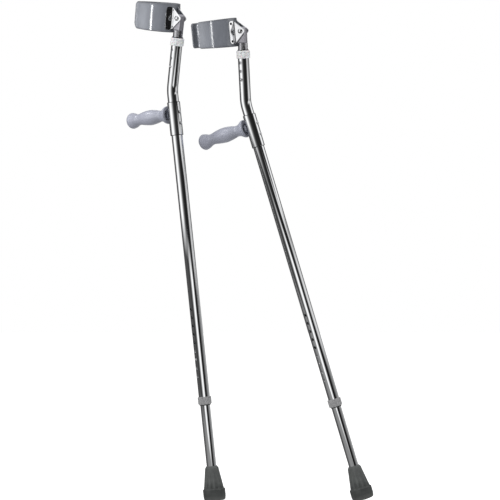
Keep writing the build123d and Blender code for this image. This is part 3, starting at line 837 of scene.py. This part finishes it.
def cuff_bracket(side):
    """Ear, bend and flange of one bent plate: side is -1 for the -Y side and 1 for +Y."""
    middle_r = FOLD_R + PLATE / 2
    turn = pi / 2 - radians(FLANGE_LIE)
    bend = middle_r * turn
    drop = -BRACKET_DROP
    low, high = drop - EAR_HALF_HEIGHT, drop + EAR_HALF_HEIGHT
    flange_low, flange_high = drop - FLANGE_HEIGHT / 2, drop + FLANGE_HEIGHT / 2
    neck, far = -0.6 * bend, -bend - FLANGE_WIDTH
    ear_tip = EAR_TIP_X - FOLD_X
    outline = rounded([
        (0, low, 3), (ear_tip, 0.3, 5), (0, high, 3), (neck, high), (neck, flange_high, 2.2),
        (far, flange_high, 6.3), (far, flange_low, 6.3), (neck, flange_low, 2.2), (neck, low)],
        closed=True, steps=8)
    notch_r = 4.6
    notch = [(-bend - 0.3 - notch_r * sin(angle), drop + notch_r * cos(angle))
             for angle in spread(0, pi, pi / 16)[::-1]]
    holes = [circle(-FOLD_X, 0, PIVOT_R + SNUG), notch]
    holes += [circle(-bend - FLANGE_WIDTH / 2, drop + end * RIVET_SPACING / 2, 1.65, 20)
              for end in (-1, 1)]

    def place(u, v, w):
        if u > 0:
            x, y = FOLD_X + u, FOLD_Y + middle_r + w
        else:
            angle = pi / 2 + min(-u, bend) / middle_r
            beyond = max(-u - bend, 0)
            x = FOLD_X + (middle_r + w) * cos(angle) - beyond * LIE_SIN
            y = FOLD_Y + (middle_r + w) * sin(angle) - beyond * LIE_COS
        return x, -side * y, v

    across = spread(far, -bend, 1.5) + spread(-bend, 0, 0.55)[1:] + spread(0, ear_tip, 1.6)[1:]
    up = spread(flange_low, flange_high, 1.6)
    return cut_plate(outline, holes, PLATE, 0.35, across, up, place)


def cuff_rivets():
    """Four domed rivets, two through each flange."""
    outer_bend = FOLD_R + PLATE
    x = FOLD_X - outer_bend * LIE_COS - FLANGE_WIDTH / 2 * LIE_SIN
    y = FOLD_Y + outer_bend * LIE_SIN - FLANGE_WIDTH / 2 * LIE_COS
    seat = PLATE + 0.02
    rivet = lathe([(0, 1.2 - CUFF_WALL), (1.6, 1.2 - CUFF_WALL), (1.6, seat), (2.8, seat),
                   (2.9, seat + 0.12), *dome(2.9, 1.0, seat + 0.12, 6)], 32)
    shell = Shell()
    for side in (-1, 1):
        for end in (-1, 1):
            spot = shifted(x, -side * y, -BRACKET_DROP + end * RIVET_SPACING / 2)
            shell.include(rivet, spot @ turned_by(side * FLANGE_LIE, "Z") @ turned_by(90, "Y"))
    return shell


def cuff_cover():
    """The open vinyl band: full-round edges, rounded arm ends and slow waves in its wall."""
    first, last = radians(180 + CUFF_GAP[1]), radians(540 + CUFF_GAP[0])
    middle_r = CUFF_R - CUFF_WALL / 2
    span = (last - first) * middle_r
    round_r = CUFF_WALL / 2
    ends = [round_r * (1 - cos(angle)) for angle in spread(0, pi / 2, pi / 14)]
    ends += [round_r + (CUFF_CORNER_R - round_r) * part / 7 for part in range(1, 8)]
    stops = [*ends, *spread(CUFF_CORNER_R, span - CUFF_CORNER_R, 2.2)[1:-1],
             *(span - end for end in ends[::-1])]
    wall_parts, round_parts = 14, 8
    shell = Shell()
    rings = []
    for stop in stops:
        angle = first + stop / middle_r
        from_end = min(stop, span - stop)
        half = CUFF_FRONT_HEIGHT / 2 + CUFF_SLOPE * CUFF_R * (1 + cos(angle))
        if from_end < CUFF_CORNER_R:
            half += sqrt(CUFF_CORNER_R**2 - (CUFF_CORNER_R - from_end) ** 2) - CUFF_CORNER_R
        thick = round_r
        if from_end < round_r:
            thick = max(0.03, sqrt(round_r**2 - (round_r - from_end) ** 2))
        front = (1 - cos(angle)) / 2
        section = [(thick, -half + thick + (2 * half - 2 * thick) * part / wall_parts)
                   for part in range(wall_parts)]
        section += [(thick * cos(turn), half - thick + thick * sin(turn))
                    for turn in spread(0, pi, pi / round_parts)[:-1]]
        section += [(-offset, -height) for offset, height in section]
        ring = []
        for offset, height in section:
            wave = (WAVE_DEPTH * front * sin(2.6 * angle + 0.05 * height)
                    * sin(height / 13 + 1.1 * angle))
            radius = middle_r + offset - abs(wave)
            ring.append((radius * cos(angle) - CUFF_AHEAD, radius * sin(angle), height - CUFF_DROP))
        rings.append(shell.add(ring))
    return shell.skin(rings, capped=True)


def pivot_bolt():
    """Round-headed bolt along +Z, threaded at its far end."""
    seat = -EAR_OUTER_Y - 0.02
    end = EAR_OUTER_Y + 9.0
    head_r = 5.4
    head = [(radius, -height) for radius, height in dome(5.3, 1.8, 1.5 - seat, 8)][::-1]
    thread = [(PIVOT_R, height) for height in spread(EAR_OUTER_Y - 1, end - 0.9, 0.14)]

    def shape(radius, height, angle):
        if height > EAR_OUTER_Y - 0.8 and radius > 2.2:
            pitch_share = (height + angle / (2 * pi)) % 1
            radius -= THREAD_DEPTH * abs(2 * pitch_share - 1)
        return turned(radius, height, angle)

    outline = [*head, (head_r, seat - 1.35), (head_r, seat - 0.15), (5.25, seat), (PIVOT_R, seat),
               *thread, (2.0, end), (0, end)]
    return lathe(outline, 48, shape)


def pivot_nut():
    """Hexagon nut with chamfered corners and a domed locking end."""
    low = EAR_OUTER_Y + 0.02
    bore = PIVOT_R + SNUG

    def shape(radius, height, angle):
        flat = NUT_HALF_WIDTH / cos((angle + pi / 6) % (pi / 3) - pi / 6)
        return turned(min(radius, flat), height, angle)

    outline = [(bore, low), (NUT_HALF_WIDTH, low), (5.8, low + 0.5), (5.8, low + 3.4),
               (NUT_HALF_WIDTH, low + 3.95),
               *rounded([(4.6, low + 4.0), (4.4, low + 5.0, 0.7), (bore, low + 5.0)])]
    return lathe(outline, 96, shape, closed=True)


# ---- Placing the pieces ----
def mark_rim_shade(cover):
    """Writes how near each point of the cuff's cover is to its top or bottom rim, which sets its
    painted shade.
    """
    cover.data.attributes.new(RIM_SHADE, "FLOAT", "POINT")
    places, rims = (cover.data.attributes[kind].data for kind in (OWN_PLACE, RIM_SHADE))
    middle_half = (CUFF_FRONT_HEIGHT / 2 + CUFF_SLOPE * CUFF_R) * MM
    for point, mark in zip(places, rims):
        half = middle_half + CUFF_SLOPE * (point.vector.x + CUFF_AHEAD * MM)
        inwards = half - abs(point.vector.z + CUFF_DROP * MM)
        mark.value = max(0.0, 1 - inwards / (RIM_SHADE_WIDTH * MM))


# finishes of their own, each with the material that it is a variety of
SHARED_SLOTS = {"chrome_sleeve": "chrome_tube", "satin_tube": "chrome_tube",
                "dark_steel": "chrome_plate"}
# nodes that keep their CAD shape, with their finish
HIDDEN = {"lower_wedge_ring": "nylon", "upper_wedge_ring": "nylon", "pivot_washers": "nylon",
          "tip_washer": "button_steel", "yoke_pin": "button_steel", "cuff_core": "spring_steel"}
SHARP_ANGLE = 40.0
RIM_SHADE_WIDTH = 2.6           # how far in from a rim its painted shade fades out, mm
CLIP_BLEND = (-5.0, 6.0)  # two places along a spring clip, where its start and stop points lie, mm


def put(name, data):
    """A new object in the scene."""
    made = bpy.data.objects.new(name, data)
    bpy.context.scene.collection.objects.link(made)
    return made


def add_piece(name, shell, place, material, body):
    """Makes a mesh object of a shell, rides it on its body and hides the CAD node of that name.

    A piece given no body rides on none.
    """
    own = [Vector(point) * MM for point in shell.points]
    mesh = bpy.data.meshes.new(name)
    mesh.from_pydata([place @ point for point in own], [], shell.faces)
    draft = bmesh.new()
    draft.from_mesh(mesh)
    bmesh.ops.recalc_face_normals(draft, faces=draft.faces)
    draft.to_mesh(mesh)
    draft.free()
    places = mesh.attributes.new(OWN_PLACE, "FLOAT_VECTOR", "POINT")
    places.data.foreach_set("vector", [value for point in own for value in point])
    mesh.shade_smooth()
    mesh.set_sharp_from_angle(angle=radians(SHARP_ANGLE))
    mesh.materials.append(MATERIALS[material])
    piece = put(f"{name}.look", mesh)
    if body:
        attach(piece, body)
    SHARED_SLOTS.get(material, material)
    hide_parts(name)
    return piece


def dress_crutch(side):
    """Puts every piece of one crutch in its place."""
    at = frames_of(side)
    for name, shell, place, material, body in (
            ("main_tube", main_tube(), "crutch", "chrome_tube", "frame"),
            ("grip_sleeve", grip_sleeve(), "crutch", "chrome_sleeve", "frame"),
            ("grip_bar", grip_bar(), "grip", "chrome_tube", "frame"),
            ("hand_grip", hand_grip(), "grip", "grip_vinyl", "frame"),
            ("grip_rivets", grip_rivets(), "crutch", "chrome_plate", "frame"),
            ("lower_collar", collar(), "foot", "collar_grey", "leg_collar"),
            ("upper_collar", collar(), "head", "collar_clear", "head_collar"),
            ("lower_tube", inner_tube(LOWER_TUBE_SPAN, LOWER_BUTTON_Z), "crutch", "chrome_tube",
             "leg"),
            ("upper_tube", inner_tube(UPPER_TUBE_SPAN, UPPER_BUTTON_S), "upper", "satin_tube",
             "head"),
            ("lower_button", snap_button(), "lower_button", "button_steel", "leg_button"),
            ("upper_button", snap_button(), "upper_button", "button_steel", "head_button"),
            ("rubber_tip", rubber_tip(), "crutch", "tip_rubber", "leg"),
            ("yoke", yoke(), "pivot", "yoke_steel", "head"),
            ("cuff_cover", cuff_cover(), "cuff", "cuff_vinyl", "cuff"),
            ("cuff_bracket_outer", cuff_bracket(-1), "cuff", "chrome_plate", "cuff"),
            ("cuff_bracket_inner", cuff_bracket(1), "cuff", "chrome_plate", "cuff"),
            ("cuff_rivets", cuff_rivets(), "cuff", "dark_steel", "cuff"),
            ("pivot_bolt", pivot_bolt(), "bolt", "chrome_plate", "cuff"),
            ("pivot_nut", pivot_nut(), "bolt", "chrome_plate", "cuff")):
        piece = add_piece(f"{side}_{name}", shell, at[place], material, f"{side}_{body}")
        if name == "cuff_cover":
            mark_rim_shade(piece)
    for end, body in (("lower", "leg"), ("upper", "head")):
        place = at[f"{end}_button"] @ turned_by(-90, "Y")
        clip = add_piece(f"{side}_{end}_spring_clip", spring_clip(), place, "spring_steel", None)
        start, stop = (place @ (Vector((x, 0, 0)) * MM) for x in CLIP_BLEND)
        tuple(start)
        tuple(stop)
        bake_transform(clip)
    for name, material in HIDDEN.items():
        node = frame["nodes"][f"{side}_{name}"]
        node.data.materials.clear()
        node.data.materials.append(MATERIALS[material])


# ---- Room, light and camera ----
WHITE = (1, 1, 1, 1)
FLOOR_HALF = 9.0          # metres
CARD_DISTANCE = 0.15
BOX_DISTANCE = 1.4
PALM = 80                 # how far along the grip its lights aim, mm
CARD_HALF = (0.06, 0.07)


def for_mirrors(piece):
    """Leaves a thing of the room to be seen in reflections only."""
    for kind in ("camera", "diffuse", "transmission", "volume_scatter", "shadow"):
        setattr(piece, f"visible_{kind}", False)
    return piece


def room_piece(name, points, faces, material):
    mesh = bpy.data.meshes.new(name)
    mesh.from_pydata(points, [], faces)
    mesh.materials.append(MATERIALS[material])
    return put(name, mesh)


def floor():
    """A pale floor; in mirror finishes the surround stands in for it."""
    finish = Finish("floor_paper", own=False, Roughness=0.9, Emission_Color=WHITE,
                    Emission_Strength=0.62)
    finish.colour(finish.ramp(finish.noise(30, detail=3), [(0.3, (0.93,) * 3), (0.7, (0.95,) * 3)]))
    corners = [(x * FLOOR_HALF, y * FLOOR_HALF, 0) for x, y in SQUARE]
    plane = room_piece("floor", corners, [(0, 1, 2, 3)], "floor_paper")
    plane.visible_glossy = plane.visible_diffuse = False


# brightness round the room at each azimuth: 0 is the camera's side, 90 its right
LEFT_PANEL = [
    (-180, 0.85), (-164, 0.7), (-154, 0.05), (-118, 0.05), (-104, 0.1), (-90, 0.42), (-79, 0.95),
    (-64, 1.1), (-48, 0.8), (-32, 0.28), (-18, 0.06), (0, 0.02)]
REAR_PANEL = [(126, 0.1), (143, 0.05), (154, 0.05), (164, 0.7), (180, 0.85)]
TOP_LIGHT = [*LEFT_PANEL, (30, 0.01), (64, 0.03), (74, 0.5), (82, 1.0), (100, 0.8), (112, 0.45),
             *REAR_PANEL]
HIGH_LIGHT = [*LEFT_PANEL, (28, 0.02), (36, 0.12), (44, 0.55), (54, 0.85), (68, 0.75), (86, 0.28),
              (112, 0.3), *REAR_PANEL]
MID_LIGHT = [*LEFT_PANEL, (30, 0.01), (50, 0.03), (60, 0.25), (70, 0.65), (98, 0.65), (112, 0.4),
             *REAR_PANEL]
LOW_LIGHT = [
    (-180, 0.8), (-164, 0.6), (-154, 0.08), (-140, 0.08), (-112, 0.07), (-67, 0.07), (-48, 0.03),
    (-34, 0.08), (-22, 0.45), (-12, 0.9), (0, 1.05), (9, 0.85), (17, 0.4), (24, 0.04),
    (34, 0.005), (50, 0.005), (60, 0.05), (72, 0.14), (87, 0.22), (112, 0.3), (136, 0.5),
    (148, 0.10), (156, 0.06), (166, 0.6), (180, 0.8)]
FLOOR_LIGHT = [
    (-180, 0.5), (-164, 0.3), (-152, 0.08), (-112, 0.07), (-87, 0.12), (-67, 0.21), (-48, 0.25),
    (0, 0.25), (16, 0.16), (31, 0.06), (48, 0.04), (67, 0.07), (112, 0.11), (136, 0.28),
    (150, 0.08), (164, 0.3), (180, 0.5)]
CEILING = (0.5, 0.5, 0.52, 1)
PANEL_TILT = 0.09         # how much higher the mid panel's lower edge is on the right, metres
SURROUND_SPAN = (-400, 2300)      # mm


def surround():
    """A drum round the set that only mirror finishes see: panels, a floor and a ceiling."""
    low, high = SURROUND_SPAN
    radius = SURROUND_R / MM
    shell = lathe([(0, low), (radius, low), (radius, high), (0, high)], 128)
    finish = Finish("surround_panels", own=False)
    parts = finish.parts_of_place()

    def maths(operation, *sources):
        node = finish.node("ShaderNodeMath")
        node.operation = operation
        for socket, source in zip(node.inputs, sources):
            finish.feed(socket, source)
        return node.outputs[0]

    azimuth = maths("ARCTAN2", parts["X"], maths("MULTIPLY", parts["Y"], -1))
    around = maths("ADD", maths("DIVIDE", azimuth, 2 * pi), 0.5)
    panels = [finish.ramp(around, [((angle + 180) / 360, (level,) * 3) for angle, level in stops])
              for stops in (FLOOR_LIGHT, LOW_LIGHT, MID_LIGHT, HIGH_LIGHT, TOP_LIGHT)]
    edge = maths("MULTIPLY", maths("SINE", azimuth), PANEL_TILT)
    height = parts["Z"]
    light = panels[0]
    for above, level, start, end in (
            (panels[1], height, -0.06, 0.03),
            (panels[2], maths("SUBTRACT", height, edge), 0.50, 0.62),
            (panels[3], height, 0.92, 1.0),
            (panels[4], height, 1.05, 1.12),
            (CEILING, height, 1.7, 2.1)):
        light = finish.mixed(light, above, finish.ranged(level, 0, 1, start, end))
    glow = finish.node("ShaderNodeEmission", Color=light, Strength=1.18)
    output = finish.tree.nodes["Material Output"]
    finish.feed(output.inputs["Surface"], glow.outputs["Emission"])
    points = [Vector(point) * MM for point in shell.points]
    for_mirrors(room_piece("surround", points, shell.faces, "surround_panels"))


def card():
    """A black card close to the left cuff's bracket, which only mirror finishes see."""
    hinge = frames_of("left")["cuff"]
    facing = (hinge.to_3x3() @ Vector((LIE_COS, -LIE_SIN, 0))).normalized()
    spot = hinge @ (Vector((FOLD_X, FOLD_Y, 0)) * MM)
    sight = (spot - bpy.context.scene.camera.location).normalized()
    away = sight - 2 * sight.dot(facing) * facing
    place = away.to_track_quat("Z", "Y").to_matrix()
    middle = spot + away * CARD_DISTANCE
    wide, high = CARD_HALF
    corners = [middle + place @ Vector((x * wide, y * high, 0)) for x, y in SQUARE]
    finish = Finish("card_felt", own=False, Roughness=1.0)
    finish.colour(finish.ramp(finish.noise(400), [(0.3, (0.004,) * 3), (0.7, (0.008,) * 3)]))
    for_mirrors(room_piece("card", corners, [(0, 1, 2, 3)], "card_felt"))


def area_light(name, azimuth, rise, distance, width, height, power, aim, only=None):
    """A soft box seen from aim at an azimuth (0 is the camera's side, 90 its right).

    With only, it lights nothing but that piece; without, mirror finishes don't show it.
    """
    data = bpy.data.lights.new(name, "AREA")
    data.shape = "RECTANGLE"
    data.size, data.size_y = width, height
    data.energy = power
    light = put(name, data)
    turn, lift = radians(azimuth), radians(rise)
    away = Vector((sin(turn) * cos(lift), -cos(turn) * cos(lift), sin(lift)))
    light.location = Vector(aim) + away * distance
    light.rotation_euler = away.to_track_quat("Z", "Y").to_euler()
    light.visible_camera = False
    light.visible_glossy = bool(only)
    if only:
        lit = bpy.data.collections.new(f"{name}_lights")
        lit.objects.link(bpy.data.objects[f"{only}.look"])
        light.light_linking.receiver_collection = lit


def lights():
    """Soft light from the left and above, and narrow boxes for the glossy plastics."""
    area_light("soft_left", -70, 18, 1.42, 0.7, 0.9, 7.5, (0, 0, 0.75))
    area_light("soft_right", 60, 10, 1.42, 0.7, 0.9, 3.0, (0, 0, 0.75))
    area_light("soft_top", -20, 62, 1.45, 0.9, 0.9, 5.0, (0, 0, 0.6))
    for side, front, power, edge, glow in (("left", -23, 10.0, -116, -100),
                                           ("right", -13, 5.0, -92, -74)):
        at = frames_of(side)
        cuff = at["cuff"] @ (Vector((-CUFF_AHEAD, 0, 0)) * MM)
        grip = at["grip"] @ (Vector((0, 0, PALM)) * MM)
        for name, turn, rise, *box, aim, piece in (
                ("streak", front, -8, 0.14, 0.9, power, cuff, "cuff_cover"),
                ("edge_streak", edge, 4, 0.24, 0.9, 10.0, cuff, "cuff_cover"),
                ("rim_streak", -20, 55, 0.5, 0.1, 2.0, cuff, "cuff_cover"),
                ("palm_glow", glow, 45, 0.35, 0.3, 3.5, grip, "hand_grip"),
                ("end_glow", glow + 22, 8, 0.2, 0.2, 1.5, grip, "hand_grip")):
            area_light(f"{side}_{name}", turn, rise, BOX_DISTANCE, *box, aim, f"{side}_{piece}")
    world = bpy.data.worlds.new("studio")
    world.use_nodes = True
    nodes, links = world.node_tree.nodes, world.node_tree.links
    fill = nodes["Background"]
    fill.inputs["Color"].default_value = WHITE
    fill.inputs["Strength"].default_value = 0.60
    backdrop = nodes.new("ShaderNodeBackground")
    backdrop.inputs["Color"].default_value = WHITE
    path, pick = nodes.new("ShaderNodeLightPath"), nodes.new("ShaderNodeMixShader")
    links.new(path.outputs["Is Camera Ray"], pick.inputs["Fac"])
    links.new(fill.outputs["Background"], pick.inputs[1])
    links.new(backdrop.outputs["Background"], pick.inputs[2])
    links.new(pick.outputs["Shader"], nodes["World Output"].inputs["Surface"])
    bpy.context.scene.world = world
    bpy.context.scene.view_settings.view_transform = "Standard"


def camera():
    data = bpy.data.cameras.new("camera")
    data.lens = LENS
    viewer = put("camera", data)
    rise = radians(VIEW_RISE)
    viewer.location = VIEW_TARGET + Vector((0, -cos(rise), sin(rise))) * VIEW_DISTANCE
    viewer.rotation_euler = (pi / 2 - rise, 0, 0)
    bpy.context.scene.camera = viewer


camera()
for crutch_side in ("left", "right"):
    dress_crutch(crutch_side)
floor()
surround()
card()
lights()
